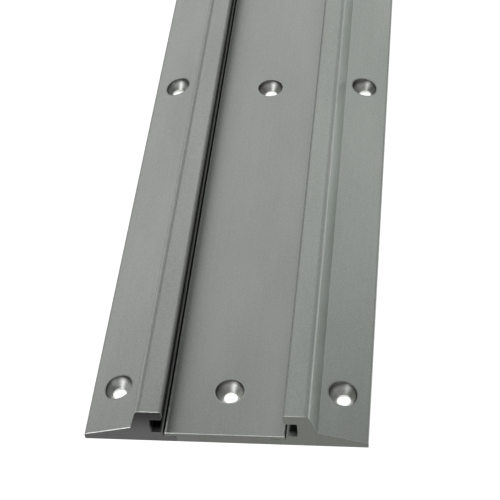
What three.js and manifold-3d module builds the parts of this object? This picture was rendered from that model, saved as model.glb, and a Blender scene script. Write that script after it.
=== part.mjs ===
// Threshold strip: two ramped nosings with a flat centre plate between them, all cut from long
// extrusions. Millimetres, +Z up. The strip runs along Y, and it rests on z = 0.
import * as THREE from "three";
import { mergeVertices } from "three/addons/utils/BufferGeometryUtils.js";
import Module from "manifold-3d";

const wasm = await Module();
wasm.setup();

// Driving dimensions
const LENGTH = 1016;
const WIDTH = 100;
const HEIGHT = 16.7;

// Nosing section, as distances from the strip's centre line and heights above the floor
const EDGE_THICKNESS = 2.6;
const CREASE_X = 32.8;
const CREASE_Z = 7.4;
const RAMP_TOP_X = 29.9;
const LIP_X = 21.1;
const LIP_UNDERSIDE_Z = 12.1;
const SLOT_BACK_X = 25.8;
const SLOT_FLOOR_Z = 5.1;

// Half-lap between the plate and each nosing: the nosing's ledge carries the plate's rebated edge
const PLATE_THICKNESS = 4.7;
const LEDGE_THICKNESS = 3;
const LEDGE_X = 17;
const SEAM_WIDTH = 0.6;
const LAP_CLEARANCE = 0.3;
const PLATE_HALF = LIP_X;
const FLANGE_X = PLATE_HALF + SEAM_WIDTH;

// Corner radii left by the die
const EDGE_RADIUS = 0.5;
const LIP_RADIUS = 0.9;
const FINE_RADIUS = 0.3;
const PLATE_EDGE_RADIUS = 0.5;
const CORNER_STEPS = 4;

// Screw holes: rows of three, evenly spaced along the strip. One plumb stepped drill makes each hole,
// from the floor up a straight bore, a countersink and the drill's own straight flank
const HOLE_ROWS = 7;
const END_TO_FIRST_ROW = 19;
const ROW_PITCH = (LENGTH - 2 * END_TO_FIRST_ROW) / (HOLE_ROWS - 1);
const WING_HOLE_X = 40.4;
const BORE_RADIUS = 2.5;
const RIM_RADIUS = 5.2;
const SINK_ANGLE = THREE.MathUtils.degToRad(82);
const SINK_DEPTH = (RIM_RADIUS - BORE_RADIUS) / Math.tan(SINK_ANGLE / 2);
const PLATE_BORE_LENGTH = 0.7;
const WING_BORE_LENGTH = 1.2;
const DRILL_OVERRUN = 1;
const HOLE_SEGMENTS = 48;

// A closed outline through corners [x, z, radius], each rounded by its own radius
function outline(corners) {
  const shape = new THREE.Shape();
  corners.forEach(([x, z, radius = 0], i) => {
    const corner = new THREE.Vector2(x, z);
    const last = new THREE.Vector2(...corners.at(i - 1));
    const next = new THREE.Vector2(...corners[(i + 1) % corners.length]);
    const start = last.sub(corner).setLength(radius).add(corner);
    const end = next.sub(corner).setLength(radius).add(corner);
    if (i === 0) shape.moveTo(start.x, start.y);
    else shape.lineTo(start.x, start.y);
    if (radius > 0) shape.quadraticCurveTo(x, z, end.x, end.y);
  });
  shape.closePath();
  return shape;
}

// The outline pushed along Y for the strip's full length
function extrusion(shape) {
  const geometry = new THREE.ExtrudeGeometry(shape, {
    depth: LENGTH,
    bevelEnabled: false,
    curveSegments: CORNER_STEPS,
  });
  geometry.rotateX(Math.PI / 2);
  geometry.translate(0, LENGTH / 2, 0);
  return geometry;
}

function toManifold(geometry) {
  geometry.deleteAttribute("normal");
  geometry.deleteAttribute("uv");
  const merged = mergeVertices(geometry, 1e-4);
  const mesh = new wasm.Mesh({
    numProp: 3,
    vertProperties: merged.attributes.position.array,
    triVerts: new Uint32Array(merged.index.array),
  });
  return new wasm.Manifold(mesh);
}

function toGeometry(manifold) {
  const mesh = manifold.getMesh();
  const geometry = new THREE.BufferGeometry();
  geometry.setAttribute("position", new THREE.BufferAttribute(mesh.vertProperties, 3));
  geometry.setIndex(new THREE.BufferAttribute(mesh.triVerts, 1));
  return geometry;
}

// What the stepped drill takes out, plumb at x and y
function drillCut(x, y, boreLength) {
  const profile = [
    new THREE.Vector2(0, -DRILL_OVERRUN),
    new THREE.Vector2(BORE_RADIUS, -DRILL_OVERRUN),
    new THREE.Vector2(BORE_RADIUS, boreLength),
    new THREE.Vector2(RIM_RADIUS, boreLength + SINK_DEPTH),
    new THREE.Vector2(RIM_RADIUS, HEIGHT),
    new THREE.Vector2(0, HEIGHT),
  ];
  const cut = new THREE.LatheGeometry(profile, HOLE_SEGMENTS);
  return toManifold(cut.rotateX(Math.PI / 2).translate(x, y, 0));
}

// The outline as a full-length bar with one line of screw holes at x
function drilledBar(shape, x, boreLength) {
  let bar = toManifold(extrusion(shape));
  for (let row = 0; row < HOLE_ROWS; row++) {
    const y = -LENGTH / 2 + END_TO_FIRST_ROW + row * ROW_PITCH;
    bar = bar.subtract(drillCut(x, y, boreLength));
  }
  return toGeometry(bar);
}

// side is 1 for the nosing at +X and -1 for its mirror image at -X
function rampNosing(side) {
  const corners = [
    [LEDGE_X, 0],
    [WIDTH / 2, 0, FINE_RADIUS],
    [WIDTH / 2, EDGE_THICKNESS, EDGE_RADIUS],
    [CREASE_X, CREASE_Z, EDGE_RADIUS],
    [RAMP_TOP_X, HEIGHT, EDGE_RADIUS],
    [LIP_X, HEIGHT, FINE_RADIUS],
    [LIP_X, LIP_UNDERSIDE_Z, LIP_RADIUS],
    [SLOT_BACK_X, LIP_UNDERSIDE_Z, FINE_RADIUS],
    [SLOT_BACK_X, SLOT_FLOOR_Z, FINE_RADIUS],
    [FLANGE_X, SLOT_FLOOR_Z, FINE_RADIUS],
    [FLANGE_X, LEDGE_THICKNESS],
    [LEDGE_X, LEDGE_THICKNESS],
  ];
  const mirrored = corners.map(([x, z, radius]) => [side * x, z, radius]);
  return drilledBar(outline(mirrored), side * WING_HOLE_X, WING_BORE_LENGTH);
}

// The flat plate, rebated along both edges so that it sits on the nosings' ledges
function centrePlate() {
  const foot = LEDGE_X - LAP_CLEARANCE;
  const half = [
    [foot, 0],
    [foot, LEDGE_THICKNESS],
    [PLATE_HALF, LEDGE_THICKNESS],
    [PLATE_HALF, PLATE_THICKNESS, PLATE_EDGE_RADIUS],
  ];
  const otherHalf = half.map(([x, z, radius]) => [-x, z, radius]).reverse();
  return drilledBar(outline([...half, ...otherHalf]), 0, PLATE_BORE_LENGTH);
}

// Satin anodised aluminium, each extrusion from its own batch
function addPiece(group, name, geometry, color) {
  const material = new THREE.MeshStandardMaterial({ color, roughness: 0.5, metalness: 0.9 });
  const mesh = new THREE.Mesh(geometry, material);
  mesh.name = name;
  group.add(mesh);
}

const thresholdStrip = new THREE.Group();
addPiece(thresholdStrip, "ramp_nosing_left", rampNosing(-1), 0x9c9d98);
addPiece(thresholdStrip, "centre_plate", centrePlate(), 0xa1a29d);
addPiece(thresholdStrip, "ramp_nosing_right", rampNosing(1), 0x989a95);

export default thresholdStrip;
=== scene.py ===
"""Threshold strip: two ramped nosings and a flat centre plate, with a plain studio round them.

The strip lies along Y with its underside on z = 0. Each piece is one drawn-out section, meshed here
with rounded corners, broken edges at the saw cuts and turned screw holes, and finished in satin
anodised, sawn and machined aluminium.
"""

import math

import bmesh
import bpy
from bpy.props import FloatProperty, FloatVectorProperty, IntProperty, PointerProperty
from mathutils import Matrix, Vector


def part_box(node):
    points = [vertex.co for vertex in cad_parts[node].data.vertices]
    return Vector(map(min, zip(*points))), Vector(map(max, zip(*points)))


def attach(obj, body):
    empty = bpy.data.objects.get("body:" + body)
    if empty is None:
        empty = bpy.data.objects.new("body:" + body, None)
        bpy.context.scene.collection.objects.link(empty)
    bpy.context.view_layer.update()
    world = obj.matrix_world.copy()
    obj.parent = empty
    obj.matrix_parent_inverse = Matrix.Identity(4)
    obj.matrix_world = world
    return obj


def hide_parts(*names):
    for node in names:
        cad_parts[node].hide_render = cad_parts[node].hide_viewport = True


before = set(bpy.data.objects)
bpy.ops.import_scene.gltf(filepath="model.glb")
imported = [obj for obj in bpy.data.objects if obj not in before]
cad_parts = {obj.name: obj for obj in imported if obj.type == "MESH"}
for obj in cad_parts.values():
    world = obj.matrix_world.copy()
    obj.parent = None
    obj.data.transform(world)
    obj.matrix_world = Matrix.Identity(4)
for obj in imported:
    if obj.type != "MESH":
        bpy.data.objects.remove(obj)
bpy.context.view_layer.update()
PLATE_LOW, PLATE_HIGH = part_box("centre_plate")
NOSING_LOW, NOSING_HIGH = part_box("ramp_nosing_right")

bl_info = {
    "name": "Threshold strip",
    "version": (1, 0, 0),
    "blender": (4, 5, 0),
    "location": "3D View > Sidebar > Threshold",
    "description": "Builds a ramped threshold strip and a plain studio round it",
    "category": "Add Mesh",
}

MM = 0.001
TURN = 2 * math.pi

CORNER_STEPS = 8  # faces round each corner of a section
GUARD = 0.4 * MM  # plain strip kept beside each rounding
SHARP_ANGLE = math.radians(35)
HOLE_SEGMENTS = 64
FILLET_STEPS = 4  # faces across the softened rim of a hole
CONE_STEPS = 3  # faces down a countersink
PATCH_REACH = 8 * MM  # half the length of the field round each hole
# The amounts are wear with painted edge light, and painted shade in the slots, seam and hole flanks.
LAYERS = ("wear", "inside")  # amounts kept at each vertex for the finishes

# Millimetres from a cut end where the painted shade in the slots begins, and where it is full
MOUTH_START = 0.4
MOUTH_END = 2.7

RING_PITCH = 0.17  # millimetres between the rings that turning leaves in a hole

FLOOR_REACH = 6.0  # metres from the middle of the floor to its edges
SQUARE = ((-1, -1), (1, -1), (1, 1), (-1, 1))  # corners of the floor, in order
FLOOR_DROP = 0.2 * MM  # gap kept between the floor and the underside
KEY_STAND = Vector((-0.9, -1.3, 1.1))  # metres from the near end to the soft panel

# Material slots of every piece, in this order
SATIN, SAWN, MACHINED = range(3)


# ------------------------------------------------------------------------------------ sizes


def length_property(name, description, millimetres):
    return FloatProperty(
        name=name, description=description, default=millimetres * MM, min=0, unit="LENGTH"
    )


def angle_property(name, description, degrees):
    return FloatProperty(
        name=name, description=description, default=math.radians(degrees), subtype="ANGLE"
    )


def amount_property(name, description, amount):
    return FloatProperty(name=name, description=description, default=amount)


def colour_property(name, description, colour):
    return FloatVectorProperty(
        name=name, description=description, default=colour, min=0, max=1, subtype="COLOR"
    )


class SectionSizes(bpy.types.PropertyGroup):
    """The sections of the nosings and the plate, measured from the strip's centre line."""

    edge_thickness: length_property("Edge thickness", "Height of the wing's outer edge", 2.6)
    crease_x: length_property("Crease distance", "Where the steep ramp meets the wing", 32.8)
    crease_z: length_property("Crease height", "Height of the wing at the crease", 7.4)
    ramp_top_x: length_property("Ramp top", "Distance of the ridge's outer corner", 29.9)
    lip_underside_z: length_property("Lip underside", "Height of the slot's roof", 12.1)
    slot_back_x: length_property("Slot back", "Distance of the slot's back wall", 25.8)
    slot_floor_z: length_property("Slot floor", "Height of the slot's floor", 5.1)
    ledge_thickness: length_property("Ledge", "Thickness of the ledge under the plate", 3)
    seam_width: length_property("Seam width", "Open joint between plate and nosing", 0.6)
    lap_clearance: length_property("Lap clearance", "Play beside the ledge", 0.04)
    edge_radius: length_property("Edge radius", "Rounding of the outer corners", 0.5)
    ridge_radius: length_property("Ridge radius", "Rounding on top of the steep ramp", 1.3)
    tip_radius: length_property("Tip radius", "Rounding on top of the lip's tip", 0.45)
    lip_radius: length_property("Lip radius", "Rounding under the lip's tip", 0.9)
    fine_radius: length_property("Fine radius", "Rounding of the slot's corners", 0.3)
    crease_radius: length_property("Crease radius", "Rounding where ramp and wing meet", 0.12)
    hidden_radius: length_property("Hidden edge", "Rounding of corners that touch in a lap", 0.03)
    cut_chamfer: length_property("Cut chamfer", "Broken edge on top of each saw cut", 0.2)


class HoleSizes(bpy.types.PropertyGroup):
    """The screw holes, made plumb with one stepped drill."""

    rows: IntProperty(name="Rows", description="Rows of holes along the strip", default=7, min=2)
    end_distance: length_property("End distance", "From a cut end to the first row", 19)
    wing_x: length_property("Wing hole line", "Distance of the holes in the wings", 40.4)
    bore_radius: length_property("Bore radius", "Radius of the straight bore", 2.5)
    rim_radius: length_property("Rim radius", "Radius of the drill's straight flank", 5.2)
    sink_angle: angle_property("Sink angle", "Included angle of the countersink", 82)
    plate_bore: length_property("Plate bore", "Length of the bore in the plate", 0.7)
    wing_bore: length_property("Wing bore", "Length of the bore in a wing", 1.2)
    rim_fillet: length_property("Rim rounding", "Softened edge round each rim", 0.14)


class MetalFinish(bpy.types.PropertyGroup):
    """Colours and gloss of the metal, with its painted shade and painted edge light."""

    left: colour_property("Left nosing", "Anodised colour of the left nosing", (0.586, 0.605, 0.578))
    plate: colour_property("Centre plate", "Anodised colour of the plate", (0.588, 0.618, 0.585))
    right: colour_property("Right nosing", "Anodised colour of the right one", (0.575, 0.616, 0.575))
    # Painted shade: the left nosing's cuts are coloured darker than the plate's and the right one's.
    sawn_left_shaded: colour_property("Left cut", "Colour of the left nosing's ends", (0.108, 0.107, 0.107))
    sawn_plate: colour_property("Plate cut", "Colour of the plate's ends", (0.15, 0.155, 0.143))
    sawn_right: colour_property("Right cut", "Colour of the right one's ends", (0.155, 0.163, 0.145))
    # Painted shade over the upper part of the left cuts.
    left_cut_top_shade: amount_property("Left stain", "Darkening of the left cuts' upper part", 0.8)
    bare: colour_property("Machined metal", "Colour of the turned holes", (0.67, 0.68, 0.65))
    # Wear with painted light on the ridges' outer edges, more on the left ridge than on the right.
    left_ridge_wear: amount_property("Left ridge", "Wear of the left ridge's outer edge", 0.8)
    right_ridge_wear: amount_property("Right ridge", "Wear of the right ridge's outer edge", 0.35)
    # The edges' tone is painted light: below 1 a painted dark line on the nosings' edges, above 1 a
    # painted highlight on the plate's.
    nosing_rubbed_and_shaded: amount_property("Nosing edges", "Tone of the nosings' rubbed edges", 0.62)
    plate_rubbed_and_lit: amount_property("Plate edges", "Tone of the plate's rubbed edges", 1.6)
    satin_roughness: amount_property("Satin roughness", "Roughness of the anodised faces", 0.36)


class StudioSetup(bpy.types.PropertyGroup):
    """Where the camera stands and how bright the studio is."""

    azimuth: angle_property("Azimuth", "Camera's turn round the near end", 10.71)
    elevation: angle_property("Elevation", "Camera's height angle", 46.97)
    roll: angle_property("Roll", "Camera's lean about its own axis", -6.91)
    aim_distance: length_property("Aim", "From the near end to the point aimed at", 91.6)
    aim_offset: length_property("Aim offset", "From the centre line to that point, leftwards", 0.36)
    camera_distance: length_property("Distance", "From the camera to that point", 576.7)
    focal_length: amount_property("Focal length", "Lens in millimetres on 36 mm film", 106.2)
    key_size: length_property("Key size", "Width of the square soft panel", 900)
    key_power: amount_property("Key power", "Watts of the soft panel", 7.5)
    floor_glow: amount_property("Floor glow", "Light given off by the pale light table", 0.93)
    ceiling: amount_property("Ceiling", "Brightness overhead, between the walls", 0.12)
    front_walls: amount_property("Front walls", "Brightness of the walls in front", 0.32)
    horizon: amount_property("Horizon", "Extra brightness low on every wall", 0.5)
    back_walls: amount_property("Back walls", "Brightness of the walls behind", 0.62)


# ----------------------------------------------------------------------------------- shaders


class Wire:
    """A node's output that can be used in sums: each operator adds its Math node."""

    def __init__(self, shader, socket):
        self.shader = shader
        self.socket = socket

    def math(self, operation, *values):
        inputs = dict(enumerate(values))
        return self.shader.node("ShaderNodeMath", {"operation": operation}, inputs)

    def __add__(self, other):
        return self.math("ADD", self, other)

    def __sub__(self, other):
        return self.math("SUBTRACT", self, other)

    def __rsub__(self, other):
        return self.math("SUBTRACT", other, self)

    def __mul__(self, other):
        return self.math("MULTIPLY", self, other)

    def __pow__(self, exponent):
        return self.math("POWER", self, exponent)

    __radd__ = __add__
    __rmul__ = __mul__

    def absolute(self):
        return self.math("ABSOLUTE", self)

    def sine(self):
        return self.math("SINE", self)

    def wrapped(self, span):
        """The value brought to within half a span of 0 by whole spans."""
        return self.math("WRAP", self, span / 2, -span / 2)

    def ramp(self, start, end):
        """0 at start and 1 at end, smooth between; start may be the larger."""
        settings = {"interpolation_type": "SMOOTHSTEP"}
        inputs = {"Value": self, "From Min": start, "From Max": end}
        return self.shader.node("ShaderNodeMapRange", settings, inputs, "Result")


class Shader:
    """The nodes of one material or of the world."""

    def __init__(self, holder):
        holder.use_nodes = True
        self.tree = holder.node_tree
        self.tree.nodes.clear()

    def node(self, kind, settings, inputs, output=0):
        """Adds a node: its settings first, then the value or link of each socket."""
        made = self.tree.nodes.new(kind)
        for key, value in settings.items():
            setattr(made, key, value)
        for key, value in inputs.items():
            if isinstance(value, Wire):
                self.tree.links.new(value.socket, made.inputs[key])
            else:
                made.inputs[key].default_value = value
        return Wire(self, made.outputs[output] if made.outputs else None)

    def vector(self, operation, inputs):
        return self.node("ShaderNodeVectorMath", {"operation": operation}, inputs, "Vector")

    def axes(self, vector):
        return [self.node("ShaderNodeSeparateXYZ", {}, {0: vector}, axis) for axis in "XYZ"]

    def mixed(self, factor, first, second):
        """The first colour where the factor is 0, and the second where it is 1."""
        # A Mix node's colour sockets are its inputs 6 and 7 and its output 2.
        return self.node("ShaderNodeMix", {"data_type": "RGBA"}, {0: factor, 6: first, 7: second}, 2)


class MetalShader(Shader):
    """A metal finish whose patterns are placed in millimetres of the strip's own frame."""

    def __init__(self, name):
        self.material = bpy.data.materials.new(name)
        super().__init__(self.material)
        place = self.node("ShaderNodeTexCoord", {}, {}, "Object")
        self.place = self.vector("SCALE", {0: place, "Scale": 1 / MM})
        self.wear, self.inside = (
            self.node("ShaderNodeAttribute", {"attribute_name": layer}, {}, "Fac")
            for layer in LAYERS
        )

    def grain(self, stretch, scale, detail=2.0, roughness=0.5):
        """Noise from 0 to 1, scale cells to the millimetre, less where stretch is under 1."""
        place = self.vector("MULTIPLY", {0: self.place, 1: stretch})
        inputs = {"Vector": place, "Scale": scale, "Detail": detail, "Roughness": roughness}
        return self.node("ShaderNodeTexNoise", {}, inputs, "Fac")

    def relief(self, height, depth, under=None):
        """A bump of the height, from 0 to 1, times depth in millimetres."""
        inputs = {"Height": height, "Distance": depth * MM}
        if under:
            inputs["Normal"] = under
        return self.node("ShaderNodeBump", {}, inputs, "Normal")

    def finish(self, colour, roughness, normal, metallic=1.0, grazing=1.0):
        """The finished material; grazing is the strength of its shine at low angles."""
        inputs = {"Base Color": colour, "Roughness": roughness, "Normal": normal}
        inputs["Metallic"] = metallic
        inputs["Specular Tint"] = (grazing, grazing, grazing, 1.0)
        surface = self.node("ShaderNodeBsdfPrincipled", {}, inputs, "BSDF")
        self.node("ShaderNodeOutputMaterial", {}, {"Surface": surface})
        return self.material


def tinted(colour, factor):
    """The colour times a factor, with its alpha."""
    return tuple(channel * factor for channel in colour) + (1.0,)


def satin_finish(name, colour, roughness, painted_edge_tone):
    """Etched and anodised: a fine even grain, faint die lines along the strip, and worn edges with
    painted light.

    The edges' tone is wear with painted light: a painted highlight on the plate's edges, a painted
    dark line on the nosings'. The insides of the slots carry painted shade, which fades out near the
    cut ends where light falls in.
    """
    shader = MetalShader(name)
    # Etched grain of 0.4 mm, die lines drawn out 250 times, and clouds of 20 mm
    speckle = shader.grain((1, 1, 1), 2.6, detail=3, roughness=0.6)
    die_lines = shader.grain((1, 0.004, 1), 2.2, detail=4, roughness=0.7)
    clouds = shader.grain((1, 0.3, 1), 0.05, detail=2)
    tone = speckle * 0.6 + die_lines * 0.1 + clouds * 0.3
    base = shader.mixed(tone.ramp(0.36, 0.64), tinted(colour, 0.86), tinted(colour, 1.14))
    scuffs = shader.grain((1, 0.6, 1), 0.9, detail=3)
    # Painted light on the worn edges: the edge tone brightens the plate's edges as a painted
    # highlight and darkens the nosings' as a painted dark line.
    rubbed_and_painted = shader.wear * (scuffs.ramp(0.3, 0.75) * 0.4 + 0.6)
    base = shader.mixed(rubbed_and_painted, base, tinted(colour, painted_edge_tone))
    _, y, _ = shader.axes(shader.place)
    cut_end = NOSING_HIGH.y / MM
    # Painted shade: the slots' insides are coloured nearly black, fading out near the cut ends where
    # light falls in.
    away_from_cuts = y.absolute().ramp(cut_end - MOUTH_START, cut_end - MOUTH_END)
    painted_slot_shade = shader.inside.ramp(0.2, 0.38) * away_from_cuts
    base = shader.mixed(painted_slot_shade * 0.94, base, tinted(colour, 0.02))
    gloss = roughness + (clouds - 0.5) * 0.1 + (speckle - 0.5) * 0.16 + rubbed_and_painted * 0.2
    normal = shader.relief(die_lines, 0.002)
    normal = shader.relief(speckle, 0.012, normal)
    return shader.finish(base, gloss, normal, metallic=1 - rubbed_and_painted * 0.8, grazing=0.8)


def sawn_finish(name, colour, top_shade):
    """A saw cut: close upright tooth marks and a few deeper scores, with painted shade towards the
    top.
    """
    shader = MetalShader(name)
    # Tooth marks 0.2 mm wide, scores of 0.9 mm and blotches of 4 mm
    marks = shader.grain((1, 1, 0.06), 5.0, detail=3, roughness=0.6)
    scores = shader.grain((1, 1, 0.03), 1.1, detail=2)
    blotches = shader.grain((1, 1, 1), 0.25, detail=3)
    tone = marks * 0.4 + scores * 0.3 + blotches * 0.3
    base = shader.mixed(tone.ramp(0.3, 0.7), tinted(colour, 0.92), tinted(colour, 1.08))
    _, _, z = shader.axes(shader.place)
    # The painted shade comes in between 4 and 16 mm above the underside.
    base = shader.mixed(z.ramp(4, 16) * top_shade, base, tinted(colour, 0.1))
    gloss = 0.42 + marks * 0.14
    normal = shader.relief(scores, 0.01)
    normal = shader.relief(marks, 0.008, normal)
    return shader.finish(base, gloss, normal)


def machined_finish(name, colour, holes, pitch):
    """Turned metal: fine rings round each hole, with painted shade on the straight flank under the
    rim.
    """
    shader = MetalShader(name)
    x, y, _ = shader.axes(shader.place)
    # The three lines of holes are one wing distance apart, and the rows are one pitch apart.
    across = x.wrapped(holes.wing_x / MM)
    along = (y - (NOSING_LOW.y + holes.end_distance) / MM).wrapped(pitch / MM)
    radius = (across * across + along * along) ** 0.5
    chatter = shader.grain((1, 1, 1), 0.8, detail=2)
    rings = (radius * (TURN / RING_PITCH) + chatter * 5).sine() * 0.5 + 0.5
    smears = shader.grain((1, 1, 1), 1.6, detail=3)
    base = shader.mixed(smears.ramp(0.3, 0.7), tinted(colour, 0.9), tinted(colour, 1.1))
    # Painted shade on the straight flank under the rim.
    base = shader.mixed(shader.inside * 0.85, base, tinted(colour, 0.08))
    gloss = 0.36 + smears * 0.12
    normal = shader.relief(rings, 0.002)
    return shader.finish(base, gloss, normal)


# ------------------------------------------------------------------------------------ meshes


def rounded(corners):
    """The section of these corners (x, z, radius, wear and edge light, painted shade), as points (x,
    z, wear and edge light, painted shade).

    Each corner is trimmed back by its radius along both sides and closed with one quadratic curve.
    A plain point beside each rounding keeps its wear, its painted light and shade, and its smooth
    shading off the flats.
    """
    spots = [Vector(corner[:2]) for corner in corners]
    points = []
    for index, spot in enumerate(spots):
        arriving = (spot - spots[index - 1]).normalized()
        leaving = (spots[(index + 1) % len(spots)] - spot).normalized()
        radius, worn_and_painted, inside = corners[index][2:]
        start = spot - arriving * radius
        end = spot + leaving * radius
        points.append((*(start - arriving * GUARD), 0.0, inside))
        for step in range(CORNER_STEPS + 1):
            share = step / CORNER_STEPS
            spot_on_curve = start.lerp(spot, share).lerp(spot.lerp(end, share), share)
            points.append((*spot_on_curve, worn_and_painted, inside))
        points.append((*(end + leaving * GUARD), 0.0, inside))
    return points


def along_path(path, distance):
    """The point at a distance down a path of (radius, z) points."""
    for start, end in zip(path, path[1:]):
        length = (end - start).length
        if distance <= length:
            return start.lerp(end, distance / max(length, 1e-9))
        distance -= length
    return path[-1]


def hole_profile(holes, bore_length, height_at):
    """One side of a hole from the upper face to the underside, as (radius, z, wear and edge light,
    painted shade) points.

    height_at gives the upper face's height at a radius, in the direction of this side.
    """
    spread = math.tan(holes.sink_angle / 2)
    bore_top = Vector((holes.bore_radius, bore_length))
    seat = Vector((holes.rim_radius, bore_length + (holes.rim_radius - holes.bore_radius) / spread))
    rim = Vector((holes.rim_radius, height_at(holes.rim_radius)))
    if rim.y <= seat.y:
        # The upper face drops below the seat here, so the cone itself runs out through it.
        fall = (height_at(holes.rim_radius) - height_at(0)) / holes.rim_radius
        radius = (height_at(0) - bore_length + holes.bore_radius / spread) / (1 / spread - fall)
        rim = Vector((radius, height_at(radius)))
        seat = rim
    walls = [rim, seat, bore_top]
    fillet = holes.rim_fillet
    lip_radius = rim.x + fillet
    lip = Vector((lip_radius, height_at(lip_radius)))
    wall_start = along_path(walls, fillet)
    guard_radius = lip_radius + GUARD
    points = [(guard_radius, height_at(guard_radius), 0.0, 0.0)]
    # The painted shade grows across the rim's rounding and is full at the top of the flank.
    for step in range(FILLET_STEPS + 1):
        share = step / FILLET_STEPS
        spot = lip.lerp(rim, share).lerp(rim.lerp(wall_start, share), share)
        points.append((*spot, 1.0, share))
    flank = (rim - seat).length
    cone_start = seat if flank > 1.5 * fillet else along_path(walls, 2 * fillet)
    for step in range(CONE_STEPS + 1):
        points.append((*cone_start.lerp(bore_top, step / CONE_STEPS), 0.0, float(step == 0)))
    points.append((holes.bore_radius, fillet, 0.0, 0.0))
    points.append((holes.bore_radius + fillet, 0.0, 0.0, 0.0))
    points.append((holes.bore_radius + fillet + GUARD, 0.0, 0.0, 0.0))
    return points


def add_vertex(mesh, layers, place, amounts):
    """A new vertex that carries its amounts of wear with painted edge light and of painted shade."""
    vertex = mesh.verts.new(place)
    for layer, amount in zip(layers, amounts):
        vertex[layer] = amount
    return vertex


def add_hole(mesh, layers, upper, lower, centre, holes, bore_length):
    """Fills the upper and lower fields of one hole, and makes its walls.

    Each field is four corner vertices, in order round the hole from the first quadrant.
    """
    low, high = sorted((upper[0].co, upper[1].co), key=lambda spot: spot.x)
    slope = (high.z - low.z) / (high.x - low.x)
    level = low.z + (centre[0] - low.x) * slope
    rings = []
    for segment in range(HOLE_SEGMENTS):
        angle = TURN * segment / HOLE_SEGMENTS
        cosine, sine = math.cos(angle), math.sin(angle)
        profile = hole_profile(holes, bore_length, lambda radius: level + slope * radius * cosine)
        column = []
        for radius, z, *amounts in profile:
            place = (centre[0] + radius * cosine, centre[1] + radius * sine, z)
            column.append(add_vertex(mesh, layers, place, amounts))
        rings.append(column)
    last = len(rings[0]) - 1
    for segment, column in enumerate(rings):
        beside = rings[(segment + 1) % HOLE_SEGMENTS]
        for step in range(last):
            face = mesh.faces.new((column[step], column[step + 1], beside[step + 1], beside[step]))
            face.material_index = MACHINED if 0 < step < last - 1 else SATIN
    quarter = HOLE_SEGMENTS // 4
    for field, step in ((upper, 0), (lower, last)):
        for segment in range(HOLE_SEGMENTS):
            corner = field[segment // quarter]
            beside = rings[(segment + 1) % HOLE_SEGMENTS]
            mesh.faces.new((corner, rings[segment][step], beside[step]))
        for side in range(4):
            shared = rings[(side + 1) * quarter % HOLE_SEGMENTS][step]
            mesh.faces.new((field[side], shared, field[(side + 1) % 4]))


def field_corners(near, far, side):
    """The corners of one face between two sections, in order round it from the first quadrant."""
    following = (side + 1) % len(near)
    corners = [near[side], near[following], far[side], far[following]]
    middle = sum((corner.co for corner in corners), Vector()) / 4
    return sorted(
        corners, key=lambda corner: math.atan2(corner.co.y - middle.y, corner.co.x - middle.x) % TURN
    )


def row_pitch():
    """The distance between two rows of holes."""
    holes = bpy.context.scene.threshold_holes
    length = NOSING_HIGH.y - NOSING_LOW.y
    return (length - 2 * holes.end_distance) / (holes.rows - 1)


def row_places():
    """Each row's place along the strip."""
    holes = bpy.context.scene.threshold_holes
    first = NOSING_LOW.y + holes.end_distance
    pitch = row_pitch()
    return [first + row * pitch for row in range(holes.rows)]


def stations_along(section, rows):
    """The places along the strip where a section stands, each with its points."""
    size = bpy.context.scene.threshold_section
    start, end, chamfer = NOSING_LOW.y, NOSING_HIGH.y, size.cut_chamfer
    # Only the upper edges of a cut are broken, not the slots' or the underside's.
    cut = [
        (x, z - chamfer if z > size.edge_thickness / 2 and not inside else z, worn_and_painted, inside)
        for x, z, worn_and_painted, inside in section
    ]
    stations = [(start, cut), (start + chamfer, section)]
    stations += [(row + reach, section) for row in rows for reach in (-PATCH_REACH, PATCH_REACH)]
    return stations + [(end - chamfer, section), (end, cut)]


def drilled_sides(section, hole_x):
    """The lower and the upper side of a section that the holes go through."""
    holes = bpy.context.scene.threshold_holes
    reach = holes.rim_radius + holes.rim_fillet + GUARD
    drilled = []
    for side, (x, *_) in enumerate(section):
        low, high = sorted((x, section[(side + 1) % len(section)][0]))
        if low < hole_x - reach and high > hole_x + reach:
            drilled.append(side)
    return sorted(drilled, key=lambda side: section[side][1])


def strip_piece(name, corners, hole_x, bore_length, materials):
    """Makes one drawn-out piece with its saw-cut ends and its line of holes."""
    holes = bpy.context.scene.threshold_holes
    outline = rounded(corners)
    rows = row_places()
    lower_side, upper_side = drilled_sides(outline, hole_x)
    mesh = bmesh.new()
    layers = [mesh.verts.layers.float.new(layer) for layer in LAYERS]
    sections = [
        [add_vertex(mesh, layers, (x, y, z), amounts) for x, z, *amounts in points]
        for y, points in stations_along(outline, rows)
    ]
    for number, (near, far) in enumerate(zip(sections, sections[1:])):
        chamfered = number in (0, len(sections) - 2)
        with_hole = not chamfered and number % 2 == 0
        for side in range(len(near)):
            if with_hole and side in (lower_side, upper_side):
                continue
            following = (side + 1) % len(near)
            face = mesh.faces.new((near[side], near[following], far[following], far[side]))
            face.material_index = SATIN
        if with_hole:
            upper, lower = (field_corners(near, far, side) for side in (upper_side, lower_side))
            centre = (hole_x, rows[number // 2 - 1])
            add_hole(mesh, layers, upper, lower, centre, holes, bore_length)
    for section in (sections[0], sections[-1]):
        mesh.faces.new(section).material_index = SAWN
    bmesh.ops.recalc_face_normals(mesh, faces=mesh.faces)
    if not all(edge.is_manifold for edge in mesh.edges):
        raise RuntimeError(f"{name} isn't closed")
    return mesh_piece(name, mesh, materials)


def mesh_piece(name, mesh, materials):
    """The object made from a finished mesh, shaded smooth but for its sharp edges."""
    data = bpy.data.meshes.new(name)
    mesh.to_mesh(data)
    mesh.free()
    data.shade_smooth()
    data.set_sharp_from_angle(angle=SHARP_ANGLE)
    for material in materials:
        data.materials.append(material)
    piece = bpy.data.objects.new(name, data)
    bpy.context.scene.collection.objects.link(piece)
    shading = piece.modifiers.new("Flat faces lead the shading", "WEIGHTED_NORMAL")
    shading.keep_sharp = True
    return piece


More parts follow.
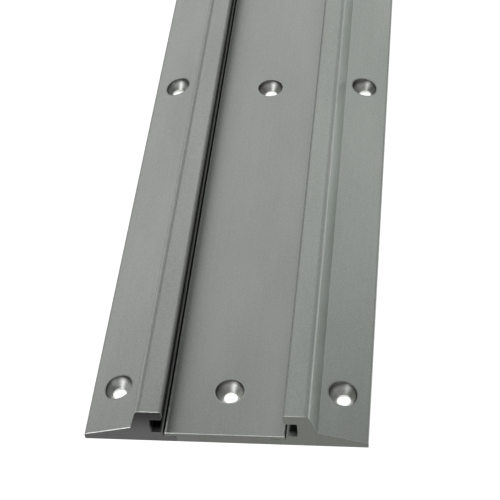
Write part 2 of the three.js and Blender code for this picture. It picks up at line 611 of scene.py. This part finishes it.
def piece_materials(name, colour, painted_edge_tone, sawn, top_shade=0.0):
    """The satin, sawn and machined finishes of one piece, in slot order."""
    finish = bpy.context.scene.threshold_finish
    holes = bpy.context.scene.threshold_holes
    return [
        satin_finish(f"{name}_satin", colour, finish.satin_roughness, painted_edge_tone),
        sawn_finish(f"{name}_sawn", sawn, top_shade),
        machined_finish(f"{name}_machined", finish.bare, holes, row_pitch()),
    ]


# --------------------------------------------------------------------------------- operators


def nosing_corners(size, ridge_wear):
    """The right nosing's corners as (x, z, radius, wear and edge light, painted shade), from the
    underside outwards.
    """
    inner, outer, top = NOSING_LOW.x, NOSING_HIGH.x, NOSING_HIGH.z
    lip = PLATE_HIGH.x
    flange = lip + size.seam_width
    # The fourth column is wear with painted edge light; the fifth is painted shade, full in the
    # slot.
    return [
        (inner, 0, size.hidden_radius, 0.0, 0.0),
        (outer, 0, size.fine_radius, 0.3, 0.0),
        (outer, size.edge_thickness, size.edge_radius, 0.6, 0.0),
        (size.crease_x, size.crease_z, size.crease_radius, 0.0, 0.0),
        (size.ramp_top_x, top, size.ridge_radius, ridge_wear, 0.0),
        (lip, top, size.tip_radius, 1.0, 0.0),
        (lip, size.lip_underside_z, size.lip_radius, 0.0, 0.8),
        (size.slot_back_x, size.lip_underside_z, size.fine_radius, 0.0, 1.0),
        (size.slot_back_x, size.slot_floor_z, size.fine_radius, 0.0, 1.0),
        (flange, size.slot_floor_z, size.fine_radius, 0.5, 0.25),
        (flange, size.ledge_thickness, size.hidden_radius, 0.0, 0.8),
        (inner, size.ledge_thickness, size.hidden_radius, 0.0, 1.0),
    ]


class THRESHOLD_OT_ramp_nosings(bpy.types.Operator):
    """Build the left and right ramp nosings"""

    bl_idname = "threshold.ramp_nosings"
    bl_label = "Ramp nosings"

    def execute(self, context):
        size = context.scene.threshold_section
        holes = context.scene.threshold_holes
        finish = context.scene.threshold_finish
        # The left cuts carry painted shade: a darker colour, darker still towards the top.
        sides = (
            ("left", -1, finish.left_ridge_wear, finish.left, finish.sawn_left_shaded, finish.left_cut_top_shade),
            ("right", 1, finish.right_ridge_wear, finish.right, finish.sawn_right, 0.0),
        )
        for name, way, ridge_wear, colour, sawn, top_shade in sides:
            section = [(way * x, *rest) for x, *rest in nosing_corners(size, ridge_wear)]
            materials = piece_materials(
                f"{name}_nosing", colour, finish.nosing_rubbed_and_shaded, sawn, top_shade
            )
            piece = strip_piece(
                f"{name}_ramp_nosing", section, way * holes.wing_x, holes.wing_bore, materials
            )
            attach(piece, "root")
            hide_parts(f"ramp_nosing_{name}")
        return {"FINISHED"}


class THRESHOLD_OT_centre_plate(bpy.types.Operator):
    """Build the flat plate between the nosings"""

    bl_idname = "threshold.centre_plate"
    bl_label = "Centre plate"

    def execute(self, context):
        size = context.scene.threshold_section
        holes = context.scene.threshold_holes
        finish = context.scene.threshold_finish
        lap = NOSING_LOW.x - size.lap_clearance
        # The fifth column is painted shade, given to the corner at the seam.
        half = [
            (lap, 0, size.hidden_radius, 0.0, 0.0),
            (lap, size.ledge_thickness, size.hidden_radius, 0.0, 0.0),
            (PLATE_HIGH.x, size.ledge_thickness, size.hidden_radius, 0.0, 0.7),
            (PLATE_HIGH.x, PLATE_HIGH.z, size.edge_radius, 1.0, 0.0),
        ]
        section = half + [(-x, *rest) for x, *rest in reversed(half)]
        materials = piece_materials(
            "plate", finish.plate, finish.plate_rubbed_and_lit, finish.sawn_plate
        )
        piece = strip_piece("flat_centre_plate", section, 0.0, holes.plate_bore, materials)
        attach(piece, "root")
        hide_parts("centre_plate")
        return {"FINISHED"}


def add_camera(studio):
    """Stands the camera off the point aimed at, and leans it over."""
    turn, height = studio.azimuth, studio.elevation
    back = Vector((
        math.sin(turn) * math.cos(height),
        -math.cos(turn) * math.cos(height),
        math.sin(height),
    ))
    level = Vector((math.cos(turn), math.sin(turn), 0))
    upright = back.cross(level)
    right = level * math.cos(studio.roll) + upright * math.sin(studio.roll)
    up = back.cross(right)
    aim = Vector((-studio.aim_offset, NOSING_LOW.y + studio.aim_distance, 0))
    camera = bpy.data.objects.new("camera", bpy.data.cameras.new("camera"))
    camera.data.lens = studio.focal_length
    camera.data.clip_start = 0.05
    camera.matrix_world = Matrix.Translation(aim + back * studio.camera_distance) @ Matrix(
        (right, up, back)
    ).transposed().to_4x4()
    bpy.context.scene.collection.objects.link(camera)
    bpy.context.scene.camera = camera


def add_softbox(studio):
    """A square soft panel of light beside the camera, facing the near end."""
    data = bpy.data.lights.new("key_light", "AREA")
    data.shape = "SQUARE"
    data.size = studio.key_size
    data.energy = studio.key_power
    light = bpy.data.objects.new("key_light", data)
    light.location = Vector((0, NOSING_LOW.y, 0)) + KEY_STAND
    light.rotation_euler = (-KEY_STAND).to_track_quat("-Z", "Y").to_euler()
    bpy.context.scene.collection.objects.link(light)


def add_walls(studio):
    """A world of plain walls: dim overhead, brighter in front, behind and near the horizon."""
    world = bpy.data.worlds.new("white_walls")
    shader = Shader(world)
    direction = shader.node("ShaderNodeTexCoord", {}, {}, "Generated")
    x, y, z = shader.axes(direction)
    # Front and back are told apart along a direction turned a little to the left of +Y.
    backwards = y - x * 0.1
    strength = (
        studio.ceiling
        + backwards.ramp(0.2, -0.3) * (studio.front_walls - studio.ceiling)
        + backwards.ramp(0.5, 0.6) * (studio.back_walls - studio.ceiling)
        + z.ramp(0.14, 0.0) * studio.horizon
    )
    inputs = {"Color": (1, 1, 1, 1), "Strength": strength}
    walls = shader.node("ShaderNodeBackground", {}, inputs)
    shader.node("ShaderNodeOutputWorld", {}, {"Surface": walls})
    bpy.context.scene.world = world


def add_floor(studio):
    """A pale light table that gives off light of its own."""
    corners = [(x * FLOOR_REACH, y * FLOOR_REACH, -FLOOR_DROP) for x, y in SQUARE]
    data = bpy.data.meshes.new("floor")
    data.from_pydata(corners, [], [(0, 1, 2, 3)])
    material = bpy.data.materials.new("pale_floor")
    paint = Shader(material)
    inputs = {
        "Base Color": (0.4, 0.4, 0.4, 1),
        "Roughness": 0.9,
        "Emission Color": (1, 1, 1, 1),
        "Emission Strength": studio.floor_glow,
    }
    surface = paint.node("ShaderNodeBsdfPrincipled", {}, inputs)
    paint.node("ShaderNodeOutputMaterial", {}, {"Surface": surface})
    data.materials.append(material)
    floor = bpy.data.objects.new("floor", data)
    bpy.context.scene.collection.objects.link(floor)


class THRESHOLD_OT_studio(bpy.types.Operator):
    """Build the floor, the lights and the camera"""

    bl_idname = "threshold.studio"
    bl_label = "Studio"

    def execute(self, context):
        studio = context.scene.threshold_studio
        add_walls(studio)
        add_floor(studio)
        add_softbox(studio)
        add_camera(studio)
        context.scene.view_settings.view_transform = "Standard"
        return {"FINISHED"}


class THRESHOLD_PT_panel(bpy.types.Panel):
    """Lists the pieces, their sizes and the studio"""

    bl_idname = "THRESHOLD_PT_panel"
    bl_label = "Threshold strip"
    bl_space_type = "VIEW_3D"
    bl_region_type = "UI"
    bl_category = "Threshold"

    def draw(self, context):
        layout = self.layout
        for group in GROUPS:
            settings = getattr(context.scene, group)
            box = layout.box()
            for key in settings.bl_rna.properties.keys():
                if key not in ("rna_type", "name"):
                    box.prop(settings, key)
        for operator in OPERATORS:
            layout.operator(operator.bl_idname)


GROUPS = {
    "threshold_section": SectionSizes,
    "threshold_holes": HoleSizes,
    "threshold_finish": MetalFinish,
    "threshold_studio": StudioSetup,
}
OPERATORS = (THRESHOLD_OT_ramp_nosings, THRESHOLD_OT_centre_plate, THRESHOLD_OT_studio)
CLASSES = (*GROUPS.values(), *OPERATORS, THRESHOLD_PT_panel)


def register():
    for made in CLASSES:
        bpy.utils.register_class(made)
    for name, group in GROUPS.items():
        setattr(bpy.types.Scene, name, PointerProperty(type=group))


def unregister():
    for name in GROUPS:
        delattr(bpy.types.Scene, name)
    for made in reversed(CLASSES):
        bpy.utils.unregister_class(made)


def main():
    register()
    bpy.ops.threshold.ramp_nosings()
    bpy.ops.threshold.centre_plate()
    bpy.ops.threshold.studio()
    bpy.context.view_layer.update()


if __name__ == "__main__":
    main()
